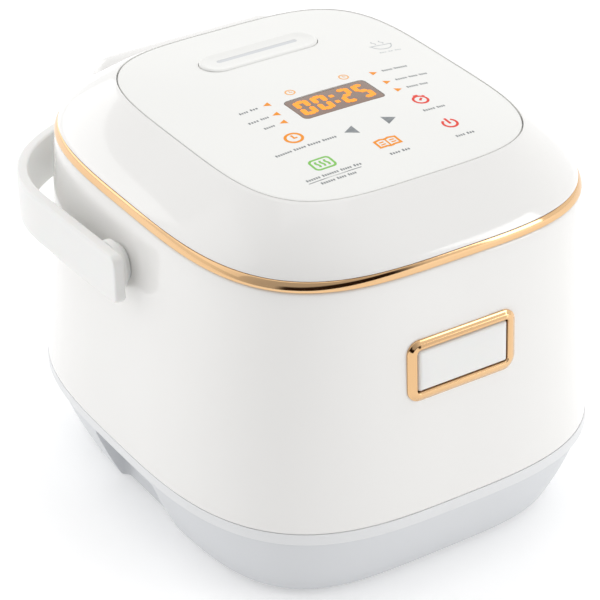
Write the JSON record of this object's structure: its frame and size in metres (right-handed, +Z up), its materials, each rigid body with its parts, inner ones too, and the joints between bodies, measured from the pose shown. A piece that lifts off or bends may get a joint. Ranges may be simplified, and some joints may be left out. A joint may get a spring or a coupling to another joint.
{
  "type": "rice cooker",
  "caption": "Compact electric rice cooker: drafted white body on an inset base, hinged lid with gold trim and control panel, latch button, swinging carry handle.",
  "frame": {"origin": "on the supporting surface, under the middle of the whole object's plan box", "axes": "+Z up; -Y is the front, with the latch button; +X is the viewer's right, seen from the front"},
  "size_m": [0.255, 0.2894, 0.2214],
  "materials": {
    "gloss_white": "moulded ABS, polished",
    "panel_white": "satin printed film over ABS",
    "satin_white": "moulded polypropylene, satin",
    "base_grey": "moulded polypropylene, pale blue-grey satin",
    "collar_grey": "moulded ABS, satin",
    "rose_gold": "plated ABS, polished, rose gold",
    "smoked_window": "tinted acrylic",
    "non_stick": "aluminium with dark non-stick coat",
    "plate_aluminium": "cast and machined",
    "steel_sheet": "pressed sheet",
    "spring_steel": "drawn wire and pins",
    "contact_brass": "stamped",
    "foot_rubber": "moulded",
    "silicone": "moulded silicone",
    "circuit_board": "glass-fibre laminate, solder mask",
    "dark_plastic": "moulded, glass filled",
    "cup_plastic": "moulded, natural"
  },
  "bodies": {
    "base": {"base_tray": "base_grey", "base_collar": "collar_grey", "outer_shell": "gloss_white", "upper_frame": "satin_white", "pot_well": "steel_sheet", "inner_pot": "non_stick", "handle_pivot_left": "satin_white", "handle_pivot_right": "satin_white", "heating_plate": "plate_aluminium", "heating_element": "steel_sheet", "sensor_spring": "spring_steel", "sensor_bracket": "steel_sheet", "thermal_fuse": "contact_brass", "main_board": "circuit_board", "power_relay": "dark_plastic", "transformer": "dark_plastic", "power_inlet": "dark_plastic", "inlet_pin_live": "contact_brass", "inlet_pin_earth": "contact_brass", "inlet_pin_neutral": "contact_brass", "cup_holder": "satin_white", "hinge_bracket": "steel_sheet", "hinge_pin": "spring_steel", "lid_spring": "spring_steel", "button_bezel": "rose_gold", "latch_spring": "spring_steel", "latch_carrier": "dark_plastic", "latch_pin": "spring_steel", "foot_front_left": "foot_rubber", "base_screw_front_left": "spring_steel", "foot_front_right": "foot_rubber", "base_screw_front_right": "spring_steel", "foot_rear_left": "foot_rubber", "base_screw_rear_left": "spring_steel", "foot_rear_right": "foot_rubber", "base_screw_rear_right": "spring_steel"},
    "lid": {"lid_shell": "gloss_white", "trim_ring": "rose_gold", "top_panel": "panel_white", "display_window": "smoked_window", "control_board": "circuit_board", "display_module": "dark_plastic", "hinge_cover": "gloss_white", "vent_housing": "satin_white", "vent_seal": "silicone", "lid_liner": "satin_white", "inner_lid_plate": "plate_aluminium", "lid_gasket": "silicone", "steam_valve": "satin_white", "lid_catch": "steel_sheet"},
    "carry_handle": {"handle": "satin_white"},
    "button": {"latch_button": "satin_white"},
    "lever": {"latch_lever": "dark_plastic"},
    "sensor": {"thermal_sensor": "plate_aluminium"},
    "vent_cap": {"steam_vent_cap": "panel_white"},
    "cup": {"condensate_cup": "cup_plastic"}
  },
  "joints": [
    {"name": "lid_hinge", "type": "hinge", "parent": "base", "child": "lid", "pos_m": [0, 0.11549, 0.187], "axis": [-1, 0, 0], "range_deg": [0, 85]},
    {"name": "handle_hinge", "type": "hinge", "parent": "base", "child": "carry_handle", "pos_m": [0, -0.00551, 0.1556], "axis": [1, 0, 0], "range_deg": [0, 90]},
    {"name": "latch_press", "type": "slide", "parent": "base", "child": "button", "axis": [0, 0.9984, -0.0565], "range_m": [0, 0.003], "stiffness_N_per_m": 400, "deforming": ["latch_spring"]},
    {"name": "latch_lever_swing", "type": "hinge", "parent": "base", "child": "lever", "pos_m": [0, -0.11273, 0.15204], "axis": [1, 0, 0], "range_deg": [0, 8]},
    {"name": "sensor_travel", "type": "slide", "parent": "base", "child": "sensor", "axis": [0, 0, 1], "range_m": [-0.003, 0], "stiffness_N_per_m": 600, "deforming": ["sensor_spring"]},
    {"name": "vent_cap_lift", "type": "slide", "parent": "lid", "child": "vent_cap", "axis": [0, 0, 1], "range_m": [0, 0.04]},
    {"name": "cup_pull", "type": "slide", "parent": "base", "child": "cup", "axis": [0, 1, 0], "range_m": [0, 0.045]}
  ],
  "couplings": [
    {"joint": "latch_lever_swing", "follows": "latch_press", "rad_per_m": 45.455}
  ]
}
